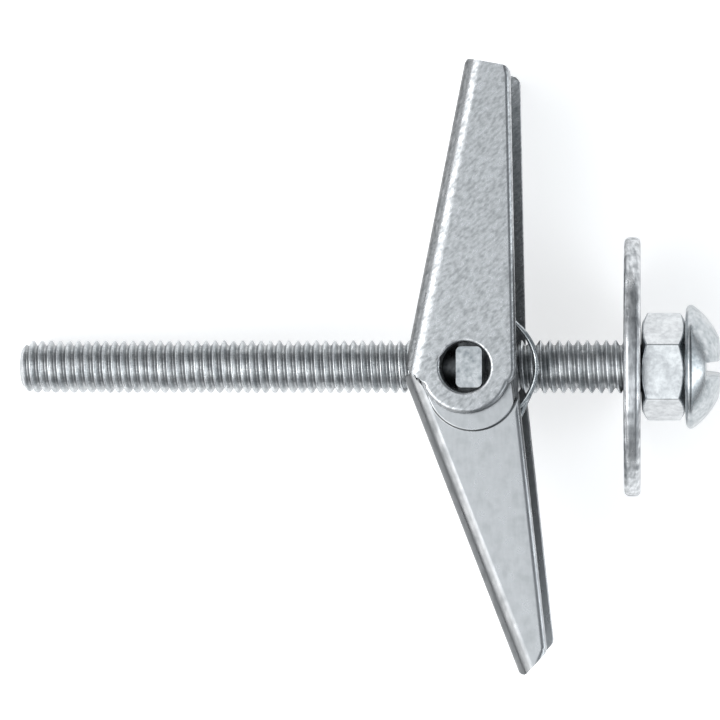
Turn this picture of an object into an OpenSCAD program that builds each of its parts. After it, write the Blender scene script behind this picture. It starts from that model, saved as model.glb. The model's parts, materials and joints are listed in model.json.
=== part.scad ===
// Spring toggle bolt M4 x 50 with a wide washer, as it lies on a table.
// Everything is first built straight: the screw along X with its head at +X, the hinge of the
// wings along Z, the outer wing towards +Y. lying() then turns the whole bolt to its rest.

/* [Screw] */
// Major diameter of the thread
thread_d = 3.96; // [3.9:0.01:4.4]
// Length under the head
screw_l = 50; // [40:1:80]
// Bevel at the tip of the thread
tip_bevel = 0.5; // [0.2:0.1:0.8]
// Diameter of the mushroom head
head_d = 9.2; // [8:0.1:12]
// Height of the head, with its flattened crown
head_h = 2.6; // [2:0.1:3.2]
// Radius of the round rim of the head
rim_r = 0.36; // [0.2:0.02:0.5]
// Radius of the dome of the head
dome_r = 5.6; // [5.4:0.1:9]
// Width of the slot
slot_w = 1.2; // [0.8:0.1:1.6]
// Depth of the slot from the crown
slot_depth = 1.1; // [0.6:0.1:1.4]
// Turn of the slot about the screw, from square to the hinge
slot_turn = 5; // [-90:1:90]

/* [Nut and washer] */
// Width of the nut across its flats
nut_af = 7; // [6.5:0.1:8]
// Height of the nut
nut_h = 3.2; // [2.2:0.1:4]
// Diameter of the round faces that the bevels leave on the nut
nut_face_d = 6.65; // [6:0.05:7.4]
// Turn of the nut about the screw
nut_turn = 24; // [0:1:59]
// Outer diameter of the washer
washer_d = 19.2; // [12:0.1:30]
// Play of the washer on the thread, across its hole
washer_play = 0.34; // [0.3:0.02:1.5]
// Thickness of the washer
washer_t = 1.2; // [0.8:0.05:1.6]
// Lean of the loose washer against the nut
washer_lean = 2; // [0:0.5:2]

/* [Toggle] */
// Distance from the seat of the head to the hinge
hinge_run = 15.95; // [15:0.05:40]
// Width of the outer wing over its two walls
toggle_w = 10.6; // [10.2:0.1:13]
// Thickness of the sheet of both wings
sheet_t = 0.7; // [0.5:0.05:0.75]
// Outer radius of the bend between web and walls
bend_r = 1.3; // [0.8:0.1:1.5]
// Hole in each wing for the trunnion
eye_d = 3.66; // [3.6:0.01:4.2]
// Radius of the ear of the outer wing
ear_r = 3.45; // [3:0.05:3.6]
// Radius of the corner of each tip at the web
tip_web_r = 0.4; // [0.2:0.1:0.8]
// Radius of the corner of each tip at the open edges
tip_edge_r = 0.7; // [0.2:0.1:1]

/* [Outer wing] */
// Distance of its web from the hinge
outer_web_off = 4.43; // [4.3:0.01:5]
// Lean of its web when open
outer_web_lean = 11.2; // [9:0.1:13]
// Distance of its open edges from the hinge
outer_edge_off = 3.76; // [3.5:0.01:4.2]
// Lean of its open edges when open
outer_edge_lean = -1.2; // [-3:0.1:2]
// Length from the hinge to the tip, along the web
outer_l = 22.15; // [19:0.1:32]

/* [Inner wing] */
// Distance of its web from the hinge
inner_web_off = 4.65; // [4.5:0.01:5.2]
// Lean of its web when open
inner_web_lean = 21.4; // [20:0.1:23]
// Distance of its open edges from the hinge
inner_edge_off = 3.6; // [3:0.01:3.9]
// Lean of its open edges when open
inner_edge_lean = 6.3; // [4:0.1:7]
// Length from the hinge to the tip, along the web
inner_l = 22.8; // [19:0.1:32]
// Slant of the cut of its tip
inner_tip_slant = 26; // [0:1:35]
// Height of the step up to its raised ears
ear_step = 0.25; // [0.1:0.05:0.3]
// Distance that the raised ears reach on from the hinge towards the tip
ear_run = 1.36; // [0.8:0.02:2]

/* [Trunnion nut] */
// Thickness of its plate and stubs along the screw
plate_t = 1.9; // [1.6:0.05:2]
// Radius of the corners of the stubs
stub_r = 0.4; // [0.3:0.05:0.6]
// Shift of the plate from the middle of the eyes, towards the head
stub_shift = 0.3; // [0:0.01:0.3]
// Radius of the drawn collar
collar_r = 2.8; // [2.6:0.05:2.9]
// Length of the drawn collar
collar_l = 1.4; // [0.8:0.1:1.5]

/* [Spring] */
// Diameter of the wire
wire_d = 0.4; // [0.3:0.02:0.44]
// Mean radius of the coil
coil_r = 3.9; // [3.6:0.05:4]
// Distance from the hinge to the middle of the coil, towards the head
coil_x = 1.2; // [1:0.05:1.4]
// Angle from the screw at which the leg in the outer wing leaves the coil
outer_leg_angle = 45; // [35:1:65]
// Angle from the screw at which the leg in the inner wing leaves the coil
inner_leg_angle = 25; // [20:1:65]
// Radius of the bend in each leg where it meets its web
leg_bend_r = 1.2; // [0.8:0.1:2]
// Length of each leg along its web
leg_l = 4; // [3:0.1:6]

/* [Hidden] */
$fn = 96;

thread_gap = 0.04;    // between the screw and each threaded bore
seat_gap = 0.02;      // between parts that bear on each other
ear_gap = 0.08;       // between the ears of the two wings
stop_gap = 0.06;      // between the closed end of each web notch and the thread
notch_gap = 0.32;     // at each side of the screw in the web notch
wire_gap = 0.03;      // between the spring and what it touches
plate_gap = 0.1;      // between the plate of the trunnion nut and the walls beside it
stub_gap = 0.04;      // between the corners of its stubs and the eyes
nut_bevel = 30;       // angle of the bevels of the nut
root_share = 0.75;    // how far the walls of each wing run on into its ears, of their radius
foot_run = 1;         // how far the open edges run past the hinge
foot_slope = 62;      // angle below the screw at which they turn into the ears
foot_r = 1.2;         // radius of that turn
zone_rim = 0.05;      // by which the raised zone of the inner wing is wider than its ears
joined = 0.3;         // by which shapes of one piece run into each other

// places along X; the foot of the washer's bearing face is at 0
head_r = head_d / 2;
thread_r = thread_d / 2;
bore_r = thread_r + thread_gap;
washer_r = washer_d / 2;
nut_face_r = nut_face_d / 2;
lean_room = nut_face_r * sin(washer_lean);
nut_x = washer_t + lean_room + seat_gap;
head_x = nut_x + nut_h + seat_gap;
tip_x = head_x - screw_l;
hinge_x = head_x - hinge_run;

// wings
inner_w = toggle_w - 2 * (sheet_t + ear_gap + ear_step);
eye_r = eye_d / 2;
notch_w = thread_d + 2 * notch_gap;
stop_y = thread_r + stop_gap;
inner_ear_r = ear_r - 0.1;
outer_root = -0.8;       // where the web of the outer wing starts, along the wing
outer_root_slope = 36;   // slant of its walls from there down to the ears
inner_root = -1.05;      // where the web of the inner wing starts

// the plate of the trunnion nut, which fills the coil of the spring, and its stubs in the eyes
plate_h = inner_w - 2 * (sheet_t + plate_gap);
eye_in = eye_r - stub_gap - stub_r;
stub_h = 2 * (stub_r + sqrt(pow(eye_in, 2) - pow(stub_shift + plate_t / 2 - stub_r, 2)));
coil_in = coil_r - wire_d / 2 - wire_gap - stub_r;
plate_w = 2 * (stub_r + sqrt(pow(coil_in, 2) - pow(coil_x - stub_shift + plate_t / 2 - stub_r, 2)));

// the spring: its coil lies under the near wall of the inner wing
coil_pitch = wire_d + wire_gap;
coil_sweep = 360 + inner_leg_angle + outer_leg_angle;
coil_steps = 48;
coil_top = inner_w / 2 - sheet_t - 2 * wire_gap - wire_d / 2;
coil_z = coil_top - coil_pitch * coil_sweep / 360;

// the lowest line of the lying bolt runs from the rim of the washer to the tip of the screw
washer_edge_r = 0.4;
rim_x = washer_edge_r * cos(washer_lean) - (washer_r - washer_edge_r) * sin(washer_lean);
rim_z = washer_edge_r * sin(washer_lean) + (washer_r - washer_edge_r) * cos(washer_lean);
rest_run = rim_x - tip_x - tip_bevel;
rest_drop = rim_z - thread_r;
pitch = atan(rest_drop / rest_run) + asin(washer_edge_r / norm([rest_run, rest_drop]));
// it rolls about the screw until the outer wing's tip touches down
outer_tip = wing_point(outer_web_off, outer_l, outer_web_lean);
tip_drop = thread_r + (hinge_x + outer_tip[0] - tip_x - tip_bevel) * tan(pitch);
roll = asin(tip_drop / norm([outer_tip[1], toggle_w / 2])) - atan(toggle_w / 2 / outer_tip[1]);

// a point of a wing: how far out from the hinge, and how far along, on a line of some lean
function wing_point(out, along, lean) =
    [along * sin(lean) - out * cos(lean), along * cos(lean) + out * sin(lean)];
// where the edge line of a wing reaches a tip line of some slant
function edge_tip(web_off, web_lean, edge_off, edge_lean, l, slant) =
    let (
        tip = wing_point(web_off, l, web_lean),
        start = wing_point(-edge_off, 0, edge_lean),
        run = [sin(edge_lean), cos(edge_lean)],
        square = [sin(web_lean + slant), cos(web_lean + slant)],
        k = ((tip - start) * square) / (run * square)
    )
    start + k * run;
// the arc that rounds the corner c between p and q
function corner_arc(p, c, q, r, steps) =
    let (
        u = (p - c) / norm(p - c),
        v = (q - c) / norm(q - c),
        half = acos(u * v) / 2,
        middle = c + (u + v) / norm(u + v) * r / sin(half),
        from = c + u * r / tan(half) - middle,
        to = c + v * r / tan(half) - middle,
        start = atan2(from[1], from[0]),
        swing = atan2(to[1], to[0]) - start,
        sweep = swing > 180 ? swing - 360 : swing < -180 ? swing + 360 : swing
    )
    [for (i = [0 : steps]) middle + r * [cos(start + sweep * i / steps), sin(start + sweep * i / steps)]];

module lying() {
    rotate([0, -pitch, 0]) rotate([-roll, 0, 0]) children();
}

// turns a shape that stands on Z so that it points along X from x
module along_screw(x) {
    translate([x, 0, 0]) rotate([0, 90, 0]) children();
}

module head_profile() {
    rim_out = head_r - rim_r;
    dome_x = rim_r - sqrt(pow(dome_r - rim_r, 2) - pow(rim_out, 2));
    side = [rim_out, rim_r - dome_x] / (dome_r - rim_r);
    translate([rim_out, rim_r]) circle(r = rim_r);
    intersection() {
        translate([0, dome_x]) circle(r = dome_r, $fn = 180);
        polygon([[0, 0], [rim_out, 0], [rim_out, rim_r], [rim_out, rim_r] + 3 * rim_r * side,
            [head_r + 1, head_h], [0, head_h]]);
    }
}

module screw() {
    color("silver") lying() difference() {
        union() {
            along_screw(tip_x) cylinder(h = tip_bevel, r1 = thread_r - tip_bevel, r2 = thread_r);
            along_screw(tip_x + tip_bevel) cylinder(h = screw_l - tip_bevel + joined, r = thread_r);
            along_screw(head_x) rotate_extrude() head_profile();
        }
        rotate([slot_turn, 0, 0]) translate([head_x + head_h - slot_depth, -slot_w / 2, -head_d])
            cube([head_h, slot_w, 2 * head_d]);
    }
}

module hex_nut() {
    corner = nut_af / 2 / cos(30);
    bevel_run = (corner - nut_face_r) * tan(nut_bevel);
    color("gainsboro") lying() along_screw(nut_x) difference() {
        intersection() {
            rotate([0, 0, 180 - nut_turn]) cylinder(h = nut_h, r = corner, $fn = 6);
            rotate_extrude() polygon([[0, 0], [nut_face_r, 0], [corner, bevel_run],
                [corner, nut_h - bevel_run], [nut_face_r, nut_h], [0, nut_h]]);
        }
        translate([0, 0, -1]) cylinder(h = nut_h + 2, r = bore_r);
    }
}

module washer_profile() {
    inner = (thread_d + washer_play) / 2;
    outer = washer_r - washer_edge_r;
    translate([inner, 0]) square([outer - inner, washer_t]);
    translate([inner, washer_edge_r]) square([washer_r - inner, washer_t - 2 * washer_edge_r]);
    for (x = [washer_edge_r, washer_t - washer_edge_r]) {
        translate([outer, x]) circle(r = washer_edge_r);
    }
}

module washer() {
    color("lightgray") lying() rotate([0, washer_lean, 0]) along_screw(0)
        rotate_extrude() washer_profile();
}

// the side of a wing, w wide across both walls, with its ears round the hinge
module wing_side(w, web_off, web_lean, edge_off, edge_lean, l, slant, root, root_slope, ear) {
    corner = wing_point(web_off, root, web_lean);
    tip = wing_point(web_off, l, web_lean);
    foot = wing_point(-edge_off, -foot_run, edge_lean);
    ear_foot = root_share * ear * [cos(foot_slope), -sin(foot_slope)];
    edge_end = edge_tip(web_off, web_lean, edge_off, edge_lean, l, slant);
    root_way = [cos(web_lean + root_slope), -sin(web_lean + root_slope)];
    difference() {
        union() {
            cylinder(h = w, r = ear, center = true);
            linear_extrude(w, center = true) polygon(concat(
                [[0, 0], corner + root_share * ear * root_way, corner],
                corner_arc(corner, tip, edge_end, tip_web_r, 4),
                corner_arc(tip, edge_end, foot, tip_edge_r, 4),
                corner_arc(edge_end, foot, ear_foot, foot_r, 4),
                [ear_foot]
            ));
        }
        cylinder(h = w + 1, r = eye_r, center = true);
    }
}

// the section across a wing: x is the distance out from the hinge, y runs across the walls
module channel_section(web_off, w, open) {
    difference() {
        rounded_end(web_off, w, bend_r, open);
        rounded_end(web_off - sheet_t, w - 2 * sheet_t, bend_r - sheet_t, open + 1);
    }
}

module rounded_end(end, w, r, back) {
    translate([-back, -w / 2]) square([end + back - r, w]);
    translate([end - r - 0.01, r - w / 2]) square([r + 0.01, w - 2 * r]);
    for (side = [-1, 1]) {
        translate([end - r, side * (w / 2 - r)]) circle(r = r);
    }
}

// a wing that points to +Y, open and with its hinge on the Z axis
module wing(w, web_off, web_lean, edge_off, edge_lean, l, slant, root, root_slope, ear) {
    notch_end = (stop_y - (web_off - sheet_t) * sin(web_lean)) / cos(web_lean);
    difference() {
        intersection() {
            wing_side(w, web_off, web_lean, edge_off, edge_lean, l, slant, root, root_slope, ear);
            rotate([0, 0, -web_lean]) translate([0, -l, 0]) rotate([-90, 0, 0]) mirror([1, 0, 0])
                linear_extrude(3 * l) channel_section(web_off, w, l);
        }
        rotate([0, 0, -web_lean]) translate([-web_off - 1, -l, 0]) {
            translate([0, notch_end, -notch_w / 2]) cube([sheet_t + 1, l, notch_w]);
            translate([0, root, sheet_t - w / 2])
                cube([sheet_t + bend_r + 1, l, w - 2 * sheet_t]);
        }
    }
}

module outer_wing() {
    color("lightsteelblue") lying() translate([hinge_x, 0, 0])
        wing(toggle_w, outer_web_off, outer_web_lean, outer_edge_off, outer_edge_lean, outer_l,
            0, outer_root, outer_root_slope, ear_r);
}

// the zone of the inner wing that is raised, through both walls
module ear_zone(w) {
    reach = inner_ear_r + zone_rim;
    rotate([0, 0, -inner_web_lean]) {
        translate([0, ear_run, 0]) cylinder(h = w, r = reach, center = true);
        translate([-reach, -2 * reach, -w / 2]) cube([3 * reach, 2 * reach + ear_run, w]);
    }
}

module inner_wing() {
    raised_w = inner_w + 2 * ear_step;
    color("lightsteelblue") lying() translate([hinge_x, 0, 0]) mirror([0, 1, 0]) {
        difference() {
            wing(inner_w, inner_web_off, inner_web_lean, inner_edge_off, inner_edge_lean,
                inner_l, inner_tip_slant, inner_root, 0, inner_ear_r);
            ear_zone(raised_w - 2 * sheet_t);
        }
        for (side = [-1, 1]) {
            translate([0, 0, side * (inner_w + ear_step) / 2]) intersection() {
                wing_side(ear_step, inner_web_off, inner_web_lean, inner_edge_off,
                    inner_edge_lean, inner_l, inner_tip_slant, inner_root, 0, inner_ear_r);
                ear_zone(2);
            }
        }
    }
}

module trunnion_nut() {
    stub_x = hinge_x + stub_shift;
    half_t = plate_t / 2;
    color("darkgray") lying() difference() {
        union() {
            translate([stub_x, 0, -plate_h / 2]) linear_extrude(plate_h) bar_section(plate_w);
            translate([stub_x, 0, -toggle_w / 2]) linear_extrude(toggle_w) bar_section(stub_h);
            along_screw(stub_x - half_t - collar_l)
                cylinder(h = collar_l + joined, r = collar_r);
        }
        along_screw(stub_x - half_t - collar_l - 1) cylinder(h = plate_t + collar_l + 2, r = bore_r);
    }
}

// the section of the plate and of its stubs, some width across the screw
module bar_section(w) {
    square([plate_t, w - 2 * stub_r], center = true);
    square([plate_t - 2 * stub_r, w], center = true);
    for (x = [-1, 1], y = [-1, 1]) {
        translate([x * (plate_t / 2 - stub_r), y * (w / 2 - stub_r)]) circle(r = stub_r);
    }
}

// the way of one leg: from the coil to the web, round a bend and along the web
function leg_path(web_off, web_lean, leave) =
    let (
        start = [coil_x + coil_r * cos(leave), coil_r * sin(leave)],
        way = [-sin(leave), cos(leave)],
        out = web_off - sheet_t - wire_d / 2 - wire_gap,
        face = [-cos(web_lean), sin(web_lean)],
        meet = start + way * (out - start * face) / (way * face),
        end = meet + leg_l * [sin(web_lean), cos(web_lean)]
    )
    concat(corner_arc(start, meet, end, leg_bend_r, 5), [end]);

// the centre line of the spring: leg in the inner wing, coil, leg in the outer wing
function spring_path() =
    let (
        low = leg_path(inner_web_off, inner_web_lean, inner_leg_angle),
        high = leg_path(outer_web_off, outer_web_lean, outer_leg_angle)
    )
    concat(
        [for (i = [len(low) - 1 : -1 : 0]) [low[i][0], -low[i][1], coil_z]],
        [for (i = [0 : coil_steps])
            let (a = coil_sweep * i / coil_steps - inner_leg_angle)
            [coil_x + coil_r * cos(a), coil_r * sin(a), coil_z + (coil_top - coil_z) * i / coil_steps]],
        [for (p = high) [p[0], p[1], coil_top]]
    );

// a round wire along a path that never runs along Z
module wire(path, d, sides) {
    n = len(path);
    rings = [for (i = [0 : n - 1])
        let (
            run = path[min(i + 1, n - 1)] - path[max(i - 1, 0)],
            side = cross([0, 0, 1], run) / norm(cross([0, 0, 1], run)),
            up = cross(run, side) / norm(cross(run, side))
        )
        for (k = [0 : sides - 1])
            path[i] + d / 2 * (cos(360 * k / sides) * side + sin(360 * k / sides) * up)];
    polyhedron(
        points = rings,
        faces = concat(
            [[for (k = [0 : sides - 1]) k]],
            [for (i = [0 : n - 2], k = [0 : sides - 1])
                let (next = (k + 1) % sides)
                [i * sides + k, (i + 1) * sides + k, (i + 1) * sides + next, i * sides + next]],
            [[for (k = [sides - 1 : -1 : 0]) (n - 1) * sides + k]]
        )
    );
}

module spring() {
    color("dimgray") lying() translate([hinge_x, 0, 0]) wire(spring_path(), wire_d, 8);
}

screw();
hex_nut();
washer();
trunnion_nut();
outer_wing();
inner_wing();
spring();
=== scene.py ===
"""Spring toggle bolt M4 x 50 of zinc-plated steel, lying on a white table and seen from above."""

import json
import logging
import math
from dataclasses import dataclass
from enum import Enum
from typing import Callable, Sequence

import bmesh
import bpy
from mathutils import Matrix, Vector
from mathutils.bvhtree import BVHTree


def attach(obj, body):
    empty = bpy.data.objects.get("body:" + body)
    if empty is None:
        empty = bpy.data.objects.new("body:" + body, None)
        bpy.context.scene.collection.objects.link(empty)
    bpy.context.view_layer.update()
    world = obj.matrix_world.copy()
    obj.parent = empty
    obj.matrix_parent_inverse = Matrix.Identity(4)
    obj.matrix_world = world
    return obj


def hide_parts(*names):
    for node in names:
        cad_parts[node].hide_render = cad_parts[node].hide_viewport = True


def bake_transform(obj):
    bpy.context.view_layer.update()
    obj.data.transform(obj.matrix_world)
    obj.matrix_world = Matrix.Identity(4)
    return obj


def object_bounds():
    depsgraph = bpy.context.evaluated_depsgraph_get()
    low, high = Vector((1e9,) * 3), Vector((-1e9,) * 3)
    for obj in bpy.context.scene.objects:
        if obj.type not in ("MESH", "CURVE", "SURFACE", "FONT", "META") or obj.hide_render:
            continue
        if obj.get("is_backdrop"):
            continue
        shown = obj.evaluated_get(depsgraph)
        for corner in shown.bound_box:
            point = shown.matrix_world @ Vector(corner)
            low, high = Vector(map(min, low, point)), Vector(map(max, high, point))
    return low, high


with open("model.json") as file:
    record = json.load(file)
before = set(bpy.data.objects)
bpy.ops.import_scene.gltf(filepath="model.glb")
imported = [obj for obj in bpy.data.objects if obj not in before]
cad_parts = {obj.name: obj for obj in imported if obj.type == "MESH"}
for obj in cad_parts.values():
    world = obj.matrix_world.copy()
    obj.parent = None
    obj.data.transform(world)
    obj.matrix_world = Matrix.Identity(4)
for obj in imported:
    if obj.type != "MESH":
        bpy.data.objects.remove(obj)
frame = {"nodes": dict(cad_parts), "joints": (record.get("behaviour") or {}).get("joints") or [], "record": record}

MM = 0.001
# points of a mesh that lie closer together than this are one, in millimetres
WELD = 0.0005
log = logging.getLogger("toggle_bolt")


class Body(Enum):
    """The CAD bodies that the pieces ride on."""

    SCREW = "screw"
    TOGGLE_NUT = "toggle_nut"
    OUTER_WING = "outer_wing"
    INNER_WING = "inner_wing"
    WASHER = "washer"
    NUT = "nut"


class Slot(Enum):
    """The record's material slots."""

    STEEL = "zinc_steel"
    SHEET = "zinc_sheet"
    WIRE = "spring_wire"


# -------------------------------- the bolt's own axes


@dataclass(frozen=True)
class BoltAxes:
    """The axes of the bolt as it lies tilted, with sizes along them in millimetres."""

    along: Vector
    across: Vector
    up: Vector
    hinge_x: float

    @classmethod
    def read(cls) -> "BoltAxes":
        """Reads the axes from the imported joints.

        Returns:
            The screw's direction towards its head, the direction of the outer wing's tip and
            the hinge line, with the hinge's place along the screw.
        """
        joints = {joint["name"]: joint for joint in frame["joints"]}
        along = -Vector(joints["toggle_travel"]["axis"])
        up = Vector(joints["inner_wing_fold"]["axis"])
        hinge = Vector(joints["inner_wing_fold"]["pos_m"]) / MM
        return cls(along, up.cross(along), up, hinge.dot(along))

    def matrix(self) -> Matrix:
        """Gives the matrix from bolt axes in millimetres to the row frame in metres."""
        turn = Matrix((self.along, self.across, self.up)).transposed()
        return turn.to_4x4() @ Matrix.Scale(MM, 4)

    def point(self, x: float, y: float, z: float) -> Vector:
        """Gives a point of the row frame, in metres, from bolt coordinates in millimetres."""
        return self.matrix() @ Vector((x, y, z))

    def span(self, node: str, axis: Vector) -> tuple[float, float]:
        """Measures a CAD node along one of the axes.

        Args:
            node: The node's name.
            axis: The direction to measure along.

        Returns:
            Its lowest and highest place, in millimetres.
        """
        places = [vertex.co.dot(axis) / MM for vertex in frame["nodes"][node].data.vertices]
        return min(places), max(places)


AXES = BoltAxes.read()


def mount(name: str) -> dict:
    """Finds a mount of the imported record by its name."""
    return next(entry for entry in frame["record"]["mounts"] if entry["name"] == name)


def clamp(value: float) -> float:
    """Keeps a value between 0 and 1."""
    return max(0.0, min(1.0, value))


# -------------------------------- colours and nodes


def linear(colour: str) -> tuple[float, float, float, float]:
    """Turns an sRGB hex colour to the linear values that Blender reads.

    Args:
        colour: Six hex digits after a hash.

    Returns:
        Red, green, blue and a full alpha.
    """
    channels = [int(colour[i : i + 2], 16) / 255 for i in (1, 3, 5)]
    turned = [c / 12.92 if c <= 0.04045 else ((c + 0.055) / 1.055) ** 2.4 for c in channels]
    return (turned[0], turned[1], turned[2], 1.0)


def add_node(
    tree: bpy.types.NodeTree, kind: str, links: dict | None = None, **settings: str
) -> bpy.types.Node:
    """Adds a node with its settings and links.

    Args:
        tree: The tree to add to.
        kind: The node's type.
        links: Values or output sockets, by the name or number of the input they go to.
        **settings: Properties of the node.

    Returns:
        The new node.
    """
    node = tree.nodes.new(kind)
    for name, value in settings.items():
        setattr(node, name, value)
    for name, value in (links or {}).items():
        if isinstance(value, bpy.types.NodeSocket):
            tree.links.new(value, node.inputs[name])
        else:
            node.inputs[name].default_value = value
    return node


def start_tree(name: str, inputs: dict[str, str]) -> bpy.types.NodeTree:
    """Starts a Geometry Nodes tree with one geometry output.

    Args:
        name: The tree's name.
        inputs: The kind of each named input.

    Returns:
        The tree, still without nodes.
    """
    tree = bpy.data.node_groups.new(name, "GeometryNodeTree")
    tree.interface.new_socket("Geometry", in_out="OUTPUT", socket_type="NodeSocketGeometry")
    for label, kind in inputs.items():
        tree.interface.new_socket(label, in_out="INPUT", socket_type=f"NodeSocket{kind}")
    return tree


def end_tree(
    tree: bpy.types.NodeTree, geometry: bpy.types.NodeSocket, material: bpy.types.Material
) -> None:
    """Ends a Geometry Nodes tree with real, dressed geometry.

    Args:
        tree: The tree to end.
        geometry: What it has made.
        material: The finish to give it.
    """
    real = add_node(tree, "GeometryNodeRealizeInstances", {0: geometry})
    dressed = add_node(
        tree, "GeometryNodeSetMaterial", {"Geometry": real.outputs[0], "Material": material}
    )
    add_node(tree, "NodeGroupOutput", {0: dressed.outputs[0]})


# -------------------------------- finishes


@dataclass(frozen=True)
class ZincPlate:
    """Bright zinc electroplate on steel: a bluish white metal, cloudy and finely pitted.

    The plating keeps the texture of the steel under it, so each piece has its own grain. The
    two spans are the noise values between which the colour and the roughness change. A stored
    attribute named by painted_shade lays painted shade on the colour: darker by
    painted_shade_dark at 0, and none from painted_shade_top.
    """

    name: str
    light: str
    dark: str
    rough_low: float = 0.24
    rough_high: float = 0.42
    cloud_mm: float = 0.9
    cloud_detail: float = 3.0
    streak_mm: tuple[float, float, float] = (0.35, 0.35, 0.35)
    streak_turn: float = 0.0
    streak_share: float = 0.5
    streak_detail: float = 4.0
    pit_mm: float = 0.11
    pit_detail: float = 2.0
    pit_share: float = 0.5
    relief_mm: float = 0.02
    bump: float = 0.25
    tone_span: tuple[float, float] = (0.36, 0.62)
    rough_span: tuple[float, float] = (0.35, 0.65)
    painted_shade: str = ""
    painted_shade_top: float = 0.85
    painted_shade_dark: float = 0.0

    def material(self) -> bpy.types.Material:
        """Builds the plating.

        Returns:
            The material, with colour, roughness and bump from its nodes.
        """
        material = bpy.data.materials.new(self.name)
        material.use_nodes = True
        tree = material.node_tree
        shader = tree.nodes["Principled BSDF"]
        shader.inputs["Metallic"].default_value = 1.0
        place = add_node(tree, "ShaderNodeTexCoord").outputs["Object"]
        clouds = self.noise(tree, place, (self.cloud_mm,) * 3, self.cloud_detail)
        streaks = self.noise(tree, place, self.streak_mm, self.streak_detail)
        pits = self.noise(tree, place, (self.pit_mm,) * 3, self.pit_detail)
        tone = add_node(
            tree, "ShaderNodeMix", {0: self.streak_share, 2: clouds, 3: streaks}, data_type="FLOAT"
        ).outputs[0]
        tree.links.new(self.colour(tree, tone), shader.inputs["Base Color"])
        low, high = self.rough_span
        rough = add_node(
            tree,
            "ShaderNodeMapRange",
            {0: tone, 1: low, 2: high, 3: self.rough_high, 4: self.rough_low},
        ).outputs[0]
        tree.links.new(rough, shader.inputs["Roughness"])
        relief = add_node(
            tree, "ShaderNodeMix", {0: self.pit_share, 2: streaks, 3: pits}, data_type="FLOAT"
        ).outputs[0]
        bump = add_node(
            tree,
            "ShaderNodeBump",
            {"Strength": self.bump, "Distance": self.relief_mm * MM, "Height": relief},
        )
        tree.links.new(bump.outputs["Normal"], shader.inputs["Normal"])
        return material

    def colour(
        self, tree: bpy.types.NodeTree, tone: bpy.types.NodeSocket
    ) -> bpy.types.NodeSocket:
        """Colours the plating, darker where a stored attribute lays painted shade.

        Args:
            tree: The material's tree.
            tone: The noise that runs from dark to light.

        Returns:
            The colour.
        """
        ramp = add_node(tree, "ShaderNodeValToRGB", {0: tone})
        stops = zip(ramp.color_ramp.elements, self.tone_span, (self.dark, self.light))
        for stop, position, colour in stops:
            stop.position = position
            stop.color = linear(colour)
        if not self.painted_shade:
            return ramp.outputs["Color"]
        depth = add_node(tree, "ShaderNodeAttribute", attribute_name=self.painted_shade).outputs["Fac"]
        shade = add_node(
            tree,
            "ShaderNodeMapRange",
            {0: depth, 1: 0.0, 2: self.painted_shade_top, 3: 1.0 - self.painted_shade_dark, 4: 1.0},
        ).outputs[0]
        return add_node(
            tree,
            "ShaderNodeMix",
            {0: 1.0, 6: ramp.outputs["Color"], 7: shade},
            data_type="RGBA",
            blend_type="MULTIPLY",
        ).outputs[2]

    def noise(
        self,
        tree: bpy.types.NodeTree,
        place: bpy.types.NodeSocket,
        size_mm: Sequence[float],
        detail: float,
    ) -> bpy.types.NodeSocket:
        """Adds a noise whose blots have a real size.

        Args:
            tree: The material's tree.
            place: The coordinates to read.
            size_mm: Size of a blot along each axis of the turned pattern.
            detail: Levels of finer noise in it.

        Returns:
            The noise's value.
        """
        turned = add_node(
            tree,
            "ShaderNodeMapping",
            {
                "Vector": place,
                "Rotation": (0.0, 0.0, math.radians(self.streak_turn)),
                "Scale": tuple(size * MM for size in size_mm),
            },
            vector_type="TEXTURE",
        )
        return add_node(
            tree,
            "ShaderNodeTexNoise",
            {"Vector": turned.outputs[0], "Scale": 1.0, "Detail": detail},
        ).outputs[0]


# cold-headed and thread-rolled steel under zinc: smooth, with painted shade in the thread roots
THREAD_ZINC = ZincPlate(
    "zinc_plated_rolled_thread", light="#e2e4e5", dark="#a9adb0", streak_mm=(0.5, 0.1, 0.1),
    painted_shade="crest", painted_shade_dark=0.35,
)
# cold-headed screw head: soft clouds under a fairly smooth plating
HEAD_ZINC = ZincPlate(
    "zinc_plated_cold_headed_steel", light="#c8cbcd", dark="#a2a8ab",
    rough_low=0.18, rough_high=0.28,
)
# tumbled hexagon nut: the brightest of the plated parts
NUT_ZINC = ZincPlate(
    "zinc_plated_tumbled_nut", light="#d9dbdc", dark="#babcbe", rough_low=0.12, rough_high=0.2,
)
# punched washer: rougher and more blotched
WASHER_ZINC = ZincPlate(
    "zinc_plated_punched_washer", light="#dcdee0", dark="#8f9295", streak_mm=(0.2, 0.9, 0.9),
    bump=0.6,
)
# pressed steel nut: painted shade darkens it inside the toggle, and only the ends of its stubs are bright
TRUNNION_ZINC = ZincPlate(
    "zinc_plated_pressed_nut", light="#cdd0d2", dark="#8a9094", pit_mm=0.25, bump=0.5,
    painted_shade="painted_light", painted_shade_dark=0.8,
)
# folded strip, coarse and mottled where the rolling left its grain, with painted shade from a stored attribute
MOTTLED_SHEET = ZincPlate(
    "zinc_plated_mottled_strip", light="#c6c8ca", dark="#96999b", streak_mm=(0.42, 0.22, 0.3),
    streak_turn=42.0, streak_share=0.75, bump=0.6, painted_shade="painted_light", painted_shade_dark=0.6,
)
# folded strip with a smoother skin, with painted shade from a stored attribute
SMOOTH_SHEET = ZincPlate(
    "zinc_plated_smooth_strip", light="#c1c3c5", dark="#abaeb0", streak_mm=(0.5, 2.0, 0.5),
    streak_share=0.4, bump=0.2, painted_shade="painted_light", painted_shade_dark=0.6,
)
# drawn spring wire, thinly plated
SPRING_ZINC = ZincPlate(
    "zinc_plated_spring_wire", light="#d8dcde", dark="#8f969a", rough_low=0.2, rough_high=0.32,
)


# -------------------------------- meshes


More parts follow.
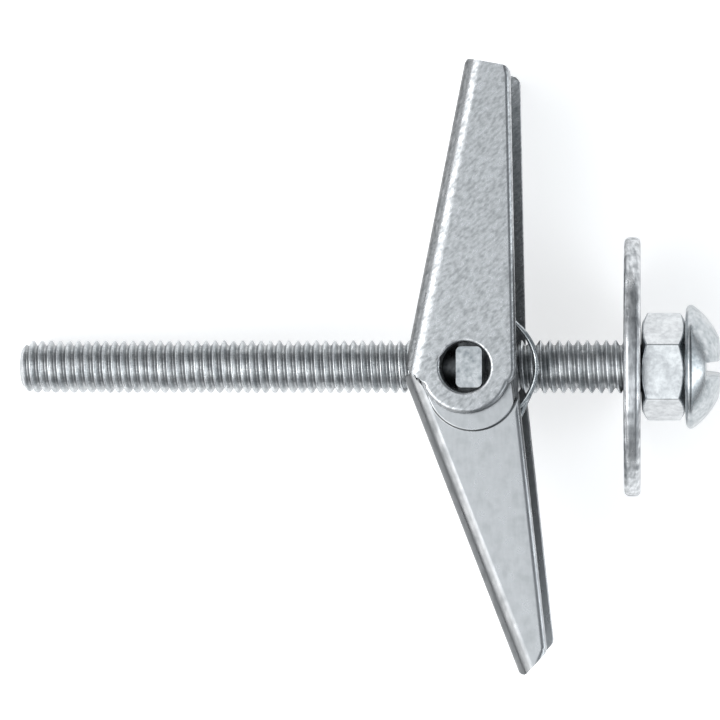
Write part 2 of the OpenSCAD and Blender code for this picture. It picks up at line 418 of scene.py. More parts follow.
def put(name: str, data: bpy.types.ID) -> bpy.types.Object:
    """Links a mesh, a light or a camera into the scene as an object at the origin.

    Args:
        name: The object's name.
        data: What it shows.

    Returns:
        The new object.
    """
    thing = bpy.data.objects.new(name, data)
    bpy.context.scene.collection.objects.link(thing)
    return thing


def new_piece(
    name: str, mesh: bpy.types.Mesh, material: bpy.types.Material
) -> bpy.types.Object:
    """Puts a mesh into the scene as a piece at the origin.

    Args:
        name: The piece's name.
        mesh: Its mesh, already in the row frame.
        material: Its finish.

    Returns:
        The new object.
    """
    mesh.name = name
    mesh.materials.clear()
    mesh.materials.append(material)
    return put(name, mesh)


def settle(piece: bpy.types.Object, body: Body, node: str) -> None:
    """Lets a piece stand for a CAD node and ride on its body.

    Args:
        piece: The finished piece.
        body: The body that it moves with.
        node: The CAD node that it replaces.
    """
    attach(piece, body.value)
    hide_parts(node)
    log.info("%s: %d faces on %s", piece.name, len(piece.data.polygons), body.value)


def evaluated_mesh(piece: bpy.types.Object) -> bpy.types.Mesh:
    """Makes a plain mesh of a piece with its modifiers, and removes the piece.

    Args:
        piece: A working piece.

    Returns:
        Its finished mesh.
    """
    graph = bpy.context.evaluated_depsgraph_get()
    mesh = bpy.data.meshes.new_from_object(piece.evaluated_get(graph), depsgraph=graph)
    bpy.data.objects.remove(piece)
    return mesh


def grown_mesh(
    name: str, seed: bpy.types.Mesh, tree: bpy.types.NodeTree, sizes: dict[str, float]
) -> bpy.types.Mesh:
    """Runs a Geometry Nodes tree.

    Args:
        name: Name of the working object.
        seed: The mesh that the tree starts from.
        tree: The tree.
        sizes: The values of its named inputs.

    Returns:
        The plain mesh that the tree makes.
    """
    carrier = put(name, seed)
    modifier = carrier.modifiers.new(name, "NODES")
    modifier.node_group = tree
    for item in tree.interface.items_tree:
        if item.in_out == "INPUT" and item.name in sizes:
            modifier[item.identifier] = sizes[item.name]
    return evaluated_mesh(carrier)


def mesh_from(shell: bmesh.types.BMesh, name: str) -> bpy.types.Mesh:
    """Makes a mesh of working geometry, and frees the geometry.

    Args:
        shell: The working geometry.
        name: The mesh's name.

    Returns:
        The new mesh.
    """
    mesh = bpy.data.meshes.new(name)
    shell.to_mesh(mesh)
    shell.free()
    return mesh


def drop_slivers(mesh: bpy.types.Mesh) -> None:
    """Merges away edges of no length and faces of no area.

    Args:
        mesh: A mesh in millimetres, which is changed.
    """
    shell = bmesh.new()
    shell.from_mesh(mesh)
    bmesh.ops.dissolve_degenerate(shell, dist=WELD, edges=shell.edges)
    shell.to_mesh(mesh)
    shell.free()


def lathe(profile: Sequence[tuple[float, float]], segments: int) -> bpy.types.Mesh:
    """Turns a profile about the screw's axis into a closed shell.

    Args:
        profile: Places along the axis and radii, from pole to pole, in millimetres.
        segments: Steps round the axis.

    Returns:
        The mesh, in bolt axes and millimetres.
    """
    shell = bmesh.new()
    turns = [2 * math.pi * i / segments for i in range(segments)]
    rings = []
    for x, radius in profile:
        places = [(x, radius * math.cos(a), radius * math.sin(a)) for a in turns]
        rings.append([shell.verts.new(place) for place in (places if radius else [(x, 0, 0)])])
    for low, high in zip(rings, rings[1:]):
        for i in range(segments):
            j = (i + 1) % segments
            corners = [
                low[i % len(low)], low[j % len(low)], high[j % len(high)], high[i % len(high)]
            ]
            shell.faces.new(list(dict.fromkeys(corners)))
    bmesh.ops.recalc_face_normals(shell, faces=shell.faces)
    return mesh_from(shell, "turned")


# faces of a CAD node that turn less than this against each other are one flat face, in degrees
FLAT_TURN = 0.6
# edges that turn more than this are rounded, in degrees
SHARP_TURN = 28.0
# steps across each rounding, and the usual share of the widest one
ROUNDING_STEPS = 3
USUAL_SHARE = 0.5
# a point this far from the node's skin is stray: as a share of the widest rounding, and in
# millimetres for a point that stands proud of the skin
STRAY_SHARE = 0.3
STRAY_PROUD = 0.05


def softened_copy(
    node: str,
    width: float,
    weight: Callable[[Vector], float] = lambda place: USUAL_SHARE,
    narrow: bool = True,
) -> bpy.types.Mesh:
    """Copies a CAD node with its sharp edges rounded.

    Points that a rounding threw off in a tight corner are laid back onto the node's skin.

    Args:
        node: The CAD node.
        width: Width of the widest rounding, in millimetres.
        weight: Share of that width for an edge, from the middle of the edge in bolt axes.
        narrow: Whether every rounding is narrowed to what the shortest edge has room for.

    Returns:
        The mesh, in the row frame.
    """
    copy = bmesh.new()
    copy.from_mesh(frame["nodes"][node].data)
    copy.transform(AXES.matrix().inverted())
    bmesh.ops.remove_doubles(copy, verts=copy.verts, dist=WELD)
    bmesh.ops.dissolve_limit(
        copy, angle_limit=math.radians(FLAT_TURN), verts=copy.verts, edges=copy.edges
    )
    layer = copy.edges.layers.float.new("bevel_weight_edge")
    for edge in copy.edges:
        if len(edge.link_faces) == 2 and edge.calc_face_angle(0.0) > math.radians(SHARP_TURN):
            edge[layer] = weight((edge.verts[0].co + edge.verts[1].co) / 2)
            edge.smooth = edge[layer] > 0
    for face in copy.faces:
        face.smooth = True
    skin = BVHTree.FromBMesh(copy)
    piece = put(node, mesh_from(copy, node))
    bevel = piece.modifiers.new("edges", "BEVEL")
    bevel.width = width
    bevel.segments = ROUNDING_STEPS
    bevel.limit_method = "WEIGHT"
    bevel.use_clamp_overlap = narrow
    normals = piece.modifiers.new("normals", "WEIGHTED_NORMAL")
    normals.keep_sharp = True
    smooth = evaluated_mesh(piece)
    for vertex in smooth.vertices:
        near, normal, _, far = skin.find_nearest(vertex.co)
        proud = (vertex.co - near).dot(normal) > 0
        if far > STRAY_SHARE * width or (far > STRAY_PROUD and proud):
            vertex.co = near
    drop_slivers(smooth)
    smooth.transform(AXES.matrix())
    return smooth


def mark_painted_light(mesh: bpy.types.Mesh, rule: Callable[[Vector], float]) -> None:
    """Stores the painted light at each vertex: 0 for full painted shade, 1 for none.

    Args:
        mesh: A mesh in the row frame.
        rule: Gives the value for a point in bolt axes.
    """
    layer = mesh.attributes.new("painted_light", "FLOAT", "POINT")
    back = AXES.matrix().inverted()
    layer.data.foreach_set("value", [rule(back @ vertex.co) for vertex in mesh.vertices])


# -------------------------------- screw


@dataclass(frozen=True)
class Screw:
    """The machine screw: a rolled thread and a mushroom head with a slot.

    Sizes are in millimetres and turns in degrees. The two spans are shares of the way from root
    to crest: the flank is the mean of a straight rise over one and a rounded rise over the other.
    """

    pitch: float = 0.7
    depth: float = 0.38
    straight_span: tuple[float, float] = (0.2, 0.86)
    rounded_span: tuple[float, float] = (0.1, 0.95)
    tip_bevel: float = 0.5
    sunk: float = 0.2
    rows_per_turn: int = 14
    around: int = 48
    row_weld: float = 0.0008
    head_height: float = 2.6
    head_around: int = 128
    rim_r: float = 0.36
    rim_steps: int = 12
    dome_r: float = 5.6
    dome_steps: int = 20
    crown_drop: float = 0.12
    crown_steps: int = 8
    slot_w: float = 1.2
    slot_depth: float = 1.1
    slot_turn: float = 5.0
    burr: float = 0.07
    burr_steps: int = 3
    burr_turn: float = 40.0

    def build(self) -> None:
        """Builds the thread and the head."""
        tip, crown = AXES.span("screw", AXES.along)
        seat = crown - self.head_height
        radius = mount("thread_end")["dims"]["r_mm"]
        zinc = THREAD_ZINC.material()
        thread = new_piece("screw_thread", self.thread_mesh(tip, seat, radius, zinc), zinc)
        settle(thread, Body.SCREW, "screw")
        head_r = AXES.span("screw", AXES.across)[1]
        head = new_piece("screw_head", self.head_mesh(seat, head_r), HEAD_ZINC.material())
        settle(head, Body.SCREW, "screw")

    def thread_mesh(
        self, tip: float, seat: float, radius: float, material: bpy.types.Material
    ) -> bpy.types.Mesh:
        """Makes the thread with Geometry Nodes, and cuts it off square inside the head.

        Args:
            tip: Place of the tip along the screw.
            seat: Place of the head's seat.
            radius: Radius over the crests.
            material: The thread's finish.

        Returns:
            The closed thread, in the row frame.
        """
        turns = math.ceil((seat - tip) / self.pitch) + 2
        sizes = {
            "Tip": tip,
            "Crest Radius": radius,
            "Depth": self.depth,
            "Pitch": self.pitch,
            "Tip Bevel": self.tip_bevel,
            "Turns": turns,
            "Rows": turns * self.rows_per_turn + 1,
            "Around": self.around + 1,
        }
        seed = bpy.data.meshes.new("thread")
        mesh = grown_mesh("thread", seed, self.thread_tree(material), sizes)
        shell = bmesh.new()
        shell.from_mesh(mesh)
        bmesh.ops.bisect_plane(
            shell,
            geom=shell.verts[:] + shell.edges[:] + shell.faces[:],
            plane_co=(seat + self.sunk, 0, 0),
            plane_no=(1, 0, 0),
            clear_outer=True,
        )
        bmesh.ops.dissolve_degenerate(shell, dist=WELD, edges=shell.edges)
        bmesh.ops.holes_fill(shell, edges=[edge for edge in shell.edges if edge.is_boundary])
        bmesh.ops.recalc_face_normals(shell, faces=shell.faces)
        shell.to_mesh(mesh)
        shell.free()
        mesh.transform(AXES.matrix())
        mesh.shade_smooth()
        return mesh

    def thread_tree(self, material: bpy.types.Material) -> bpy.types.NodeTree:
        """Builds the node tree that turns a grid into a right-hand thread.

        Args:
            material: The thread's finish.

        Returns:
            The tree, with the thread's sizes as named inputs.
        """
        lengths = ("Tip", "Crest Radius", "Depth", "Pitch", "Tip Bevel")
        counts = ("Turns", "Rows", "Around")
        kinds = dict.fromkeys(lengths, "Float") | dict.fromkeys(counts, "Int")
        tree = start_tree("rolled_thread", kinds)
        given = add_node(tree, "NodeGroupInput").outputs

        def math_node(
            operation: str, *values: float | bpy.types.NodeSocket
        ) -> bpy.types.NodeSocket:
            """Adds one step of arithmetic and gives its result."""
            links = dict(enumerate(values))
            return add_node(tree, "ShaderNodeMath", links, operation=operation).outputs[0]

        def rise_node(
            way: bpy.types.NodeSocket, span: tuple[float, float], kind: str
        ) -> bpy.types.NodeSocket:
            """Adds a rise from 0 to 1 over a span of the way and gives its result."""
            links = {0: way, 1: span[0], 2: span[1], 3: 0.0, 4: 1.0}
            return add_node(tree, "ShaderNodeMapRange", links, interpolation_type=kind).outputs[0]

        grid = add_node(
            tree,
            "GeometryNodeMeshGrid",
            {
                "Size X": 1.0,
                "Size Y": 1.0,
                "Vertices X": given["Rows"],
                "Vertices Y": given["Around"],
            },
        )
        place = add_node(tree, "GeometryNodeInputPosition").outputs[0]
        split = add_node(tree, "ShaderNodeSeparateXYZ", {0: place}).outputs
        run = math_node("MULTIPLY", math_node("ADD", split["X"], 0.5), given["Turns"])
        share = math_node("ADD", split["Y"], 0.5)
        turn = math_node("MULTIPLY", share, 2 * math.pi)
        # the rows follow the helix, and what lies before the tip is laid flat on its face
        travel = math_node("SUBTRACT", math_node("ADD", run, share), 1.0)
        free = math_node("MULTIPLY_ADD", travel, given["Pitch"], given["Tip"])
        along = math_node("MAXIMUM", free, given["Tip"])
        saw = math_node("MULTIPLY_ADD", math_node("FRACT", run), 2.0, -1.0)
        wave = math_node("ABSOLUTE", saw)
        straight = rise_node(wave, self.straight_span, "LINEAR")
        rounded = rise_node(wave, self.rounded_span, "SMOOTHSTEP")
        crest = math_node("MULTIPLY", math_node("ADD", straight, rounded), 0.5)
        below = math_node("SUBTRACT", crest, 1.0)
        flank = math_node("MULTIPLY_ADD", below, given["Depth"], given["Crest Radius"])
        bevel_foot = math_node("SUBTRACT", given["Crest Radius"], given["Tip Bevel"])
        bevel = math_node("ADD", bevel_foot, math_node("SUBTRACT", along, given["Tip"]))
        radius = math_node("MINIMUM", flank, bevel)
        side = math_node("MULTIPLY", radius, math_node("COSINE", turn))
        height = math_node("MULTIPLY", radius, math_node("SINE", turn))
        target = add_node(tree, "ShaderNodeCombineXYZ", {0: along, 1: side, 2: height}).outputs[0]
        marked = add_node(
            tree,
            "GeometryNodeStoreNamedAttribute",
            {"Geometry": grid.outputs["Mesh"], "Name": "crest", "Value": crest},
            data_type="FLOAT",
            domain="POINT",
        )
        moved = add_node(
            tree, "GeometryNodeSetPosition", {"Geometry": marked.outputs[0], "Position": target}
        )
        merged = add_node(
            tree,
            "GeometryNodeMergeByDistance",
            {"Geometry": moved.outputs[0], "Distance": self.row_weld},
        )
        end_tree(tree, merged.outputs[0], material)
        return tree

    def head_profile(self, head_r: float) -> list[tuple[float, float]]:
        """Draws half the outline of the head.

        Args:
            head_r: Radius of the head.

        Returns:
            Heights over the seat and radii, from the middle of the seat to that of the crown.
        """
        rim_out = head_r - self.rim_r
        dome_x = self.rim_r - math.sqrt((self.dome_r - self.rim_r) ** 2 - rim_out**2)
        top_turn = math.asin((self.head_height - dome_x) / self.dome_r)
        rim_turn = math.atan2(self.rim_r - dome_x, rim_out)
        profile = [(0.0, 0.0), (0.0, rim_out)]
        for i in range(1, self.rim_steps + 1):
            turn = -math.pi / 2 + (rim_turn + math.pi / 2) * i / self.rim_steps
            x = self.rim_r + self.rim_r * math.sin(turn)
            profile.append((x, rim_out + self.rim_r * math.cos(turn)))
        for i in range(1, self.dome_steps + 1):
            turn = rim_turn + (top_turn - rim_turn) * i / self.dome_steps
            profile.append((dome_x + self.dome_r * math.sin(turn), self.dome_r * math.cos(turn)))
        # the crown is pressed nearly flat, so it is rounded off over its last stretch
        crown_foot = self.head_height - self.crown_drop
        profile = [point for point in profile if point[0] < crown_foot]
        start = profile[-1]
        for i in range(1, self.crown_steps + 1):
            share = i / self.crown_steps
            x = start[0] + (self.head_height - start[0]) * math.sin(share * math.pi / 2)
            profile.append((x, start[1] * (1 - share)))
        return profile

    def slot_block(self, seat: float, head_r: float) -> bpy.types.Mesh:
        """Makes the block that the slot is cut with.

        Args:
            seat: Place of the head's seat along the screw.
            head_r: Radius of the head.

        Returns:
            The block, in bolt axes and millimetres.
        """
        reach = 4 * head_r
        floor = seat + self.head_height - self.slot_depth
        block = bmesh.new()
        bmesh.ops.create_cube(block, size=1.0)
        block.transform(Matrix.Diagonal((reach, self.slot_w, reach, 1.0)))
        block.transform(Matrix.Translation((floor + reach / 2, 0, 0)))
        block.transform(Matrix.Rotation(math.radians(self.slot_turn), 4, "X"))
        return mesh_from(block, "slot")

    def head_mesh(self, seat: float, head_r: float) -> bpy.types.Mesh:
        """Makes the mushroom head with its slot.

        Args:
            seat: Place of the head's seat along the screw.
            head_r: Radius of the head.

        Returns:
            The head, in the row frame.
        """
        outline = [(seat + x, radius) for x, radius in self.head_profile(head_r)]
        head = put("head", lathe(outline, self.head_around))
        cutter = put("slot_cutter", self.slot_block(seat, head_r))
        cut = head.modifiers.new("slot", "BOOLEAN")
        cut.operation = "DIFFERENCE"
        cut.object = cutter
        cut.solver = "EXACT"
        bevel = head.modifiers.new("burr", "BEVEL")
        bevel.width = self.burr
        bevel.segments = self.burr_steps
        bevel.limit_method = "ANGLE"
        bevel.angle_limit = math.radians(self.burr_turn)
        result = evaluated_mesh(head)
        bpy.data.objects.remove(cutter)
        drop_slivers(result)
        result.transform(AXES.matrix())
        result.shade_smooth()
        return result


# -------------------------------- nut, washer and toggle


@dataclass(frozen=True)
class NutAndWasher:
    """The hexagon nut run up under the head, and the wide punched washer."""

    nut_edge: float = 0.16
    washer_edge: float = 0.12

    def build(self) -> None:
        """Builds the nut and the washer from their CAD solids, with rounded edges."""
        hexagon = softened_copy("hex_nut", self.nut_edge)
        nut = new_piece("hexagon_nut", hexagon, NUT_ZINC.material())
        settle(nut, Body.NUT, "hex_nut")
        disc = softened_copy("washer", self.washer_edge)
        washer = new_piece("wide_washer", disc, WASHER_ZINC.material())
        settle(washer, Body.WASHER, "washer")


# how near a point of a wing lies to a feature that it belongs to, in millimetres
SKIN_REACH = 0.05
EYE_REACH = 0.06
CUT_REACH = 0.1
STEP_REACH = 0.12
BEND_REACH = 0.02
# how far the painted shade on the step keeps from its upper lip and from its foot, in millimetres
STEP_LIP = 0.02
STEP_FOOT = 0.01
# shares of the widest rounding: the eye outside and inside, the step, and the inner cut edges
EYE_SHARE = 0.6
EYE_INNER_SHARE = 0.2
STEP_SHARE = 0.27
INNER_SHARE = 0.25
# share of the way down a bend past which a point lies on the flat of the web
WEB_DOWN = 0.99
# shares of the sheet's thickness: its middle, and the depth down to which no painted shade is laid
MIDDLE = 0.5
BRIGHT_DEPTH = 0.4
# distance from the hinge over which the painted shade inside the channel fades out, in millimetres
LIGHT_RUN = 20.0


@dataclass(frozen=True)
class Channel:
    """The sizes of one folded wing, in millimetres from the hinge and in degrees.

    Painted shade darkens the outside of a bend, from painted_shade_from and over
    painted_shade_over of its way.
    """

    node: str
    side: int
    half_w: float
    web_off: float
    web_lean: float
    ear_run: float = 0.0
    step_r: float = 0.0
    step: float = 0.0
    length: float = 22.15
    tip_slant: float = 0.0
    painted_shade_from: float = 0.5
    painted_shade_over: float = 0.3
    bend_r: float = 1.3
    sheet_t: float = 0.7
    eye_r: float = 1.83

    def out(self, place: Vector) -> float:
        """Measures how far a point lies from the hinge, square to the web."""
        slant = math.radians(self.web_lean)
        return self.side * place.y * math.sin(slant) - (place.x - AXES.hinge_x) * math.cos(slant)

    def run(self, place: Vector) -> float:
        """Measures how far a point lies from the hinge, along the web."""
        slant = math.radians(self.web_lean)
        return self.side * place.y * math.cos(slant) + (place.x - AXES.hinge_x) * math.sin(slant)

    def from_tip(self, place: Vector) -> float:
        """Measures how far a point lies from the cut at the wing's tip.

        Args:
            place: A point of the wing, in bolt axes.

        Returns:
            Its distance in millimetres.
        """
        slant = math.radians(self.tip_slant)
        beyond = (self.length - self.run(place)) * math.cos(slant)
        return beyond - (self.web_off - self.out(place)) * math.sin(slant)

    def depth(self, place: Vector) -> float:
        """Measures how deep a point lies under the outer skin of the channel.

        Args:
            place: A point of the wing, in bolt axes.

        Returns:
            Its depth in millimetres.
        """
        raised = self.run(place) < self.ear_run + self.step_r
        from_wall = self.half_w - abs(place.z) - (0.0 if raised else self.step)
        from_web = self.web_off - self.out(place)
        if from_wall < self.bend_r + BEND_REACH and from_web < self.bend_r:
            return self.bend_r - math.hypot(self.bend_r - from_wall, self.bend_r - from_web)
        return min(from_wall, from_web)

    def on_step(self, place: Vector) -> bool:
        """Tells whether a point lies on the step up to the raised ears.

        Args:
            place: A point of the wing, in bolt axes.

        Returns:
            True on the step, and always False for a wing without one.
        """
        if self.step == 0 or abs(place.z) < self.half_w - self.step - SKIN_REACH:
            return False
        from_ear = math.hypot(self.out(place), self.run(place) - self.ear_run)
        return abs(from_ear - self.step_r) < STEP_REACH

    def edge_weight(self, place: Vector) -> float:
        """Shares out the rounding: wide on the outer side of the cut edges, narrow inside.

        The edges of the tip stay sharp.

        Args:
            place: Middle of an edge, in bolt axes.

        Returns:
            Share of the widest rounding.
        """
        from_hinge = math.hypot(place.x - AXES.hinge_x, place.y)
        outside = abs(place.z) > self.half_w - SKIN_REACH or self.depth(place) < SKIN_REACH
        if abs(from_hinge - self.eye_r) < EYE_REACH:
            return EYE_SHARE if outside else EYE_INNER_SHARE
        if self.on_step(place):
            return STEP_SHARE
        if self.from_tip(place) < CUT_REACH:
            return 0.0
        if self.out(place) > self.web_off - self.bend_r - CUT_REACH:
            return INNER_SHARE
        return 1.0 if outside else INNER_SHARE

    def painted_light(self, place: Vector) -> float:
        """Gives the painted light: painted shade inside, on the step and down the bends.

        Args:
            place: A point of the wing, in bolt axes.

        Returns:
            A value from 0 for full painted shade to 1 for none.
        """
        # painted shade along the face of the step up to the ears
        if self.on_step(place):
            down_step = self.half_w - abs(place.z)
            return 0.0 if STEP_LIP < down_step < self.step - STEP_FOOT else 1.0
        depth = self.depth(place) / self.sheet_t
        down = 1 - (self.web_off - self.out(place)) / self.bend_r
        if depth < MIDDLE and down > WEB_DOWN:
            return 1.0
        # painted shade down the outside of the bend
        if depth < MIDDLE and down > 0:
            return 1 - clamp((down - self.painted_shade_from) / self.painted_shade_over)
        # painted shade on the inner faces of the channel, fading out away from the hinge
        lit = clamp(self.run(place) / LIGHT_RUN)
        return max(lit, 1 - clamp((depth - BRIGHT_DEPTH) / BRIGHT_DEPTH))


@dataclass(frozen=True)
class Toggle:
    """The pressed trunnion nut and the two folded wings that hinge on its stubs."""

    sheet_edge: float = 0.42
    stub_edge: float = 0.6
    stub_top: float = 4.7
    outer: Channel = Channel("outer_wing", side=1, half_w=5.3, web_off=4.43, web_lean=11.2)
    inner: Channel = Channel(
        "inner_wing", side=-1, half_w=4.52, web_off=4.65, web_lean=21.4, ear_run=1.36,
        step_r=3.4, step=0.25, length=22.8, tip_slant=26.0, painted_shade_from=0.06, painted_shade_over=0.14,
    )

    def build(self) -> None:
        """Builds the trunnion nut and both wings."""
        pressed = softened_copy("trunnion_nut", self.stub_edge)
        # painted shade on all of the nut inside the toggle; only the stub ends stay bright
        mark_painted_light(pressed, lambda place: 1.0 if abs(place.z) > self.stub_top else 0.0)
        trunnion = new_piece("pressed_trunnion_nut", pressed, TRUNNION_ZINC.material())
        settle(trunnion, Body.TOGGLE_NUT, "trunnion_nut")
        for channel, body, zinc in (
            (self.outer, Body.OUTER_WING, MOTTLED_SHEET),
            (self.inner, Body.INNER_WING, SMOOTH_SHEET),
        ):
            folded = softened_copy(
                channel.node, self.sheet_edge, channel.edge_weight, narrow=False
            )
            mark_painted_light(folded, channel.painted_light)
            wing = new_piece(f"{channel.node}_channel", folded, zinc.material())
            settle(wing, body, channel.node)


# -------------------------------- spring


@dataclass(frozen=True)
class SpringLeg:
    """One leg of the spring: where it leaves the coil and the web that it bears on.

    Lengths are in millimetres from the hinge, and angles in degrees. bend_end is a place across
    the screw.
    """

    leave: float
    web_out: float
    web_lean: float
    bend_end: float


@dataclass(frozen=True)
class TorsionSpring:
    """The wire spring: a coil beside the screw, with a leg into each wing.

    Sizes are in millimetres, and bend_start is a place across the screw.
    """

    wire_d: float = 0.4
    wire_around: int = 16
    coil_r: float = 3.9
    coil_x: float = 1.2
    coil_low: float = 2.796
    coil_top: float = 3.31
    coil_steps: int = 96
    along_web: float = 4.0
    bend_r: float = 1.2
    bend_start: float = 1.0
    leg_steps: int = 8
    tail_steps: int = 5
    outer_leg: SpringLeg = SpringLeg(leave=45.0, web_out=3.5, web_lean=11.2, bend_end=8.5)
    inner_leg: SpringLeg = SpringLeg(leave=25.0, web_out=3.72, web_lean=21.4, bend_end=10.5)

    def build(self) -> None:
        """Builds both halves of the spring, which meet in the middle of the coil."""
        sweep = 360 + self.inner_leg.leave + self.outer_leg.leave
        steps = self.coil_steps
        coil = []
        for i in range(steps + 1):
            x, y = self.on_coil(sweep * i / steps - self.inner_leg.leave)
            coil.append((x, y, self.coil_low + (self.coil_top - self.coil_low) * i / steps))
        low = [(x, -y, self.coil_low) for x, y in self.leg_points(self.inner_leg)]
        high = [(x, y, self.coil_top) for x, y in self.leg_points(self.outer_leg)]
        middle = steps // 2
        inner_path = low[::-1] + coil[: middle + 1]
        outer_path = coil[middle:] + high
        self.half("spring_inner_half", inner_path, Body.INNER_WING, -self.inner_leg.bend_end)
        self.half("spring_outer_half", outer_path, Body.OUTER_WING, self.outer_leg.bend_end)

    def on_coil(self, turn: float) -> tuple[float, float]:
        """Gives a point of the coil's circle, from the hinge, at an angle in degrees."""
        angle = math.radians(turn)
        return self.coil_x + self.coil_r * math.cos(angle), self.coil_r * math.sin(angle)

    def leg_points(self, leg: SpringLeg) -> list[tuple[float, float]]:
        """Traces one leg from the coil to its web and along it.

        Args:
            leg: The leg to trace.

        Returns:
            Points in the plane of the wings, from the hinge, with the leg towards +Y.
        """
        start = Vector(self.on_coil(leg.leave))
        leave = math.radians(leg.leave)
        way = Vector((-math.sin(leave), math.cos(leave)))
        slant = math.radians(leg.web_lean)
        face = Vector((-math.cos(slant), math.sin(slant)))
        web = Vector((math.sin(slant), math.cos(slant)))
        meet = start + way * (leg.web_out - start.dot(face)) / way.dot(face)
        back = self.bend_r * math.tan(web.angle(way) / 2)
        first, last = meet - way * back, meet + web * back
        centre = first + Vector((way.y, -way.x)) * self.bend_r
        begin = math.atan2(first.y - centre.y, first.x - centre.x)
        swing = -web.angle(way)
        steps = self.leg_steps
        turns = [begin + swing * i / steps for i in range(steps + 1)]
        bend = [centre + self.bend_r * Vector((math.cos(a), math.sin(a))) for a in turns]
        straight = [start.lerp(first, i / steps) for i in range(1, steps)]
        end = meet + web * self.along_web
        tail = [last.lerp(end, i / self.tail_steps) for i in range(1, self.tail_steps + 1)]
        return [(point.x, point.y) for point in straight + bend + tail]

    def half(
        self, name: str, path: Sequence[tuple[float, float, float]], body: Body, bend_end: float
    ) -> None:
        """Builds one half of the spring.

        Args:
            name: The piece's name.
            path: Its centre line, from the hinge, in bolt axes and millimetres.
            body: The wing whose web its leg runs along, named only in the log.
            bend_end: A place across the screw; nothing that is made from it is used.
        """
        material = SPRING_ZINC.material()
        line = bpy.data.meshes.new(name)
        points = [(AXES.hinge_x + x, y, z) for x, y, z in path]
        line.from_pydata(points, [(i, i + 1) for i in range(len(points) - 1)], [])
        sizes = {"Wire Radius": self.wire_d / 2}
        mesh = grown_mesh(name, line, self.wire_tree(name, material), sizes)
        mesh.transform(AXES.matrix())
        mesh.shade_smooth()
        piece = new_piece(name, mesh, material)
        bend_start = math.copysign(self.bend_start, bend_end)
        AXES.point(AXES.hinge_x, bend_start, 0)
        AXES.point(AXES.hinge_x, bend_end, 0)
        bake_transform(piece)
        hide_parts("spring")
        faces = len(mesh.polygons)
        log.info("%s: %d faces between the trunnion nut and %s", name, faces, body.value)

    def wire_tree(self, name: str, material: bpy.types.Material) -> bpy.types.NodeTree:
        """Builds the node tree that draws a round wire along a line.

        Args:
            name: The tree's name.
            material: The wire's finish.

        Returns:
            The tree, with the wire's radius as a named input.
        """
        tree = start_tree(name, {"Geometry": "Geometry", "Wire Radius": "Float"})
        given = add_node(tree, "NodeGroupInput").outputs
        line = add_node(tree, "GeometryNodeMeshToCurve", {"Mesh": given["Geometry"]})
        ring = add_node(
            tree,
            "GeometryNodeCurvePrimitiveCircle",
            {"Resolution": self.wire_around, "Radius": given["Wire Radius"]},
        )
        wire = add_node(
            tree,
            "GeometryNodeCurveToMesh",
            {"Curve": line.outputs[0], "Profile Curve": ring.outputs[0], "Fill Caps": True},
        )
        end_tree(tree, wire.outputs[0], material)
        return tree


# -------------------------------- studio


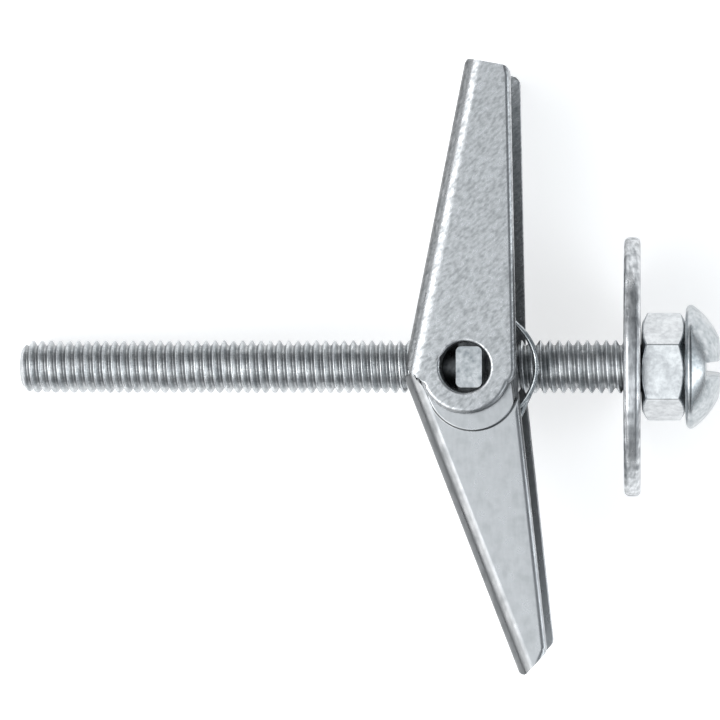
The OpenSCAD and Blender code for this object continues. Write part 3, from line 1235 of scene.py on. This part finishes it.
@dataclass(frozen=True)
class Studio:
    """A white table, soft lights overhead and a camera that looks down on the bolt.

    The sky's stops are angles from straight overhead in degrees, with the colour at each: those
    of sky run along X, and those of sky_across along Y.
    """

    camera_mm: float = 240.0
    view_mm: float = 53.95
    aim: tuple[float, float] = (-19.76, 0.5)
    yaw: float = 7.2
    table_reach: float = 1.5
    table_white: str = "#d2d3d4"
    table_glow: float = 0.6
    sky_strength: float = 3.5
    sky_across: tuple[tuple[float, str], ...] = (
        (-90, "#767778"), (-62, "#808182"), (-46, "#b4b5b6"), (-36, "#ffffff"), (-5, "#ffffff"),
        (4, "#c6c7c8"), (26, "#c6c7c8"), (38, "#909192"), (90, "#767778"),
    )
    sky: tuple[tuple[float, str], ...] = (
        (-90, "#2c2e30"), (-78, "#5a5d60"), (-66, "#ffffff"), (-36, "#ffffff"), (-22, "#afb2b4"),
        (-9, "#a7aaac"), (4, "#55585b"), (38, "#55585b"), (52, "#e8ecef"), (74, "#e8ecef"),
        (90, "#3a3c3e"),
    )

    def build(self) -> None:
        """Builds the table, the lights and the camera."""
        self.table()
        self.lights()
        self.camera()

    def table(self) -> None:
        """Lays a white table under the lowest point of the bolt."""
        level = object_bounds()[0][2]
        sheet = bmesh.new()
        bmesh.ops.create_grid(sheet, x_segments=1, y_segments=1, size=self.table_reach)
        bmesh.ops.translate(sheet, verts=sheet.verts, vec=(0, 0, level))
        mesh = mesh_from(sheet, "table")
        material = bpy.data.materials.new("white_card")
        material.use_nodes = True
        shader = material.node_tree.nodes["Principled BSDF"]
        shader.inputs["Base Color"].default_value = linear(self.table_white)
        shader.inputs["Roughness"].default_value = 0.9
        shader.inputs["Specular IOR Level"].default_value = 0.1
        shader.inputs["Emission Color"].default_value = linear("#ffffff")
        shader.inputs["Emission Strength"].default_value = self.table_glow
        new_piece("table", mesh, material)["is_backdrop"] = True

    def lights(self) -> None:
        """Lights the bolt with a sky of soft strips that cross each other, and one soft box."""
        world = bpy.data.worlds.new("studio")
        world.use_nodes = True
        tree = world.node_tree
        way = add_node(tree, "ShaderNodeTexCoord").outputs["Generated"]
        split = add_node(tree, "ShaderNodeSeparateXYZ", {0: way}).outputs
        first = self.strips(tree, split["X"], split["Z"], self.sky)
        second = self.strips(tree, split["Y"], split["Z"], self.sky_across)
        sky = add_node(
            tree,
            "ShaderNodeMix",
            {0: 1.0, 6: first, 7: second},
            data_type="RGBA",
            blend_type="MULTIPLY",
        ).outputs[2]
        tree.links.new(sky, tree.nodes["Background"].inputs["Color"])
        tree.nodes["Background"].inputs["Strength"].default_value = self.sky_strength
        bpy.context.scene.world = world
        self.soft_box("left", place=(-0.85, 0.2, 0.75), size=(0.6, 0.9), power=2.0)

    def strips(
        self,
        tree: bpy.types.NodeTree,
        side: bpy.types.NodeSocket,
        height: bpy.types.NodeSocket,
        stops: Sequence[tuple[float, str]],
    ) -> bpy.types.NodeSocket:
        """Adds strips of light that lie at set angles from straight overhead.

        Args:
            tree: The world's tree.
            side: The direction's sideways share.
            height: The direction's upward share.
            stops: Angles in degrees and the colour at each.

        Returns:
            The strips' colour.
        """
        lean = add_node(
            tree, "ShaderNodeMath", {0: side, 1: height}, operation="ARCTAN2"
        ).outputs[0]
        share = add_node(
            tree, "ShaderNodeMapRange", {0: lean, 1: -math.pi / 2, 2: math.pi / 2, 3: 0.0, 4: 1.0}
        ).outputs[0]
        sky = add_node(tree, "ShaderNodeValToRGB", {0: share})
        for i, (degrees, colour) in enumerate(stops):
            place = degrees / 180 + 0.5
            steps = sky.color_ramp.elements
            step = steps[0] if i == 0 else steps.new(place) if i < len(stops) - 1 else steps[-1]
            step.position = place
            step.color = linear(colour)
        return sky.outputs["Color"]

    def soft_box(
        self, name: str, place: tuple[float, float, float], size: tuple[float, float], power: float
    ) -> None:
        """Adds a rectangular light that points at the bolt.

        Args:
            name: The light's name.
            place: Its place in metres.
            size: Its width and height in metres.
            power: Its power in watts.
        """
        light = bpy.data.lights.new(name, "AREA")
        light.shape = "RECTANGLE"
        light.size, light.size_y = size
        light.energy = power
        lamp = put(name, light)
        lamp.location = place
        lamp.rotation_euler = (-Vector(place)).to_track_quat("-Z", "Y").to_euler()

    def camera(self) -> None:
        """Sets up the camera in the bolt's own tilted axes, so that the screw runs level."""
        yaw = math.radians(self.yaw)
        back = AXES.along * math.sin(yaw) + AXES.up * math.cos(yaw)
        right = AXES.across.cross(back).normalized()
        turn = Matrix((right, back.cross(right), back)).transposed().to_4x4()
        data = bpy.data.cameras.new("camera")
        data.sensor_width = 36.0
        data.lens = data.sensor_width * self.camera_mm / self.view_mm
        data.clip_start = 0.01
        data.clip_end = 10.0
        camera = put("camera", data)
        place = AXES.point(self.aim[0], self.aim[1], 0) + back * self.camera_mm * MM
        camera.matrix_world = Matrix.Translation(place) @ turn
        bpy.context.scene.camera = camera


def main() -> None:
    """Builds the bolt and its studio, and logs the number of faces of each piece."""
    logging.basicConfig(level=logging.INFO, format="%(message)s")
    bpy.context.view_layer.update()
    Screw().build()
    NutAndWasher().build()
    Toggle().build()
    TorsionSpring().build()
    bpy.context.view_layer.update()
    Studio().build()
    bpy.context.scene.view_settings.view_transform = "Standard"


if __name__ == "__main__":
    main()
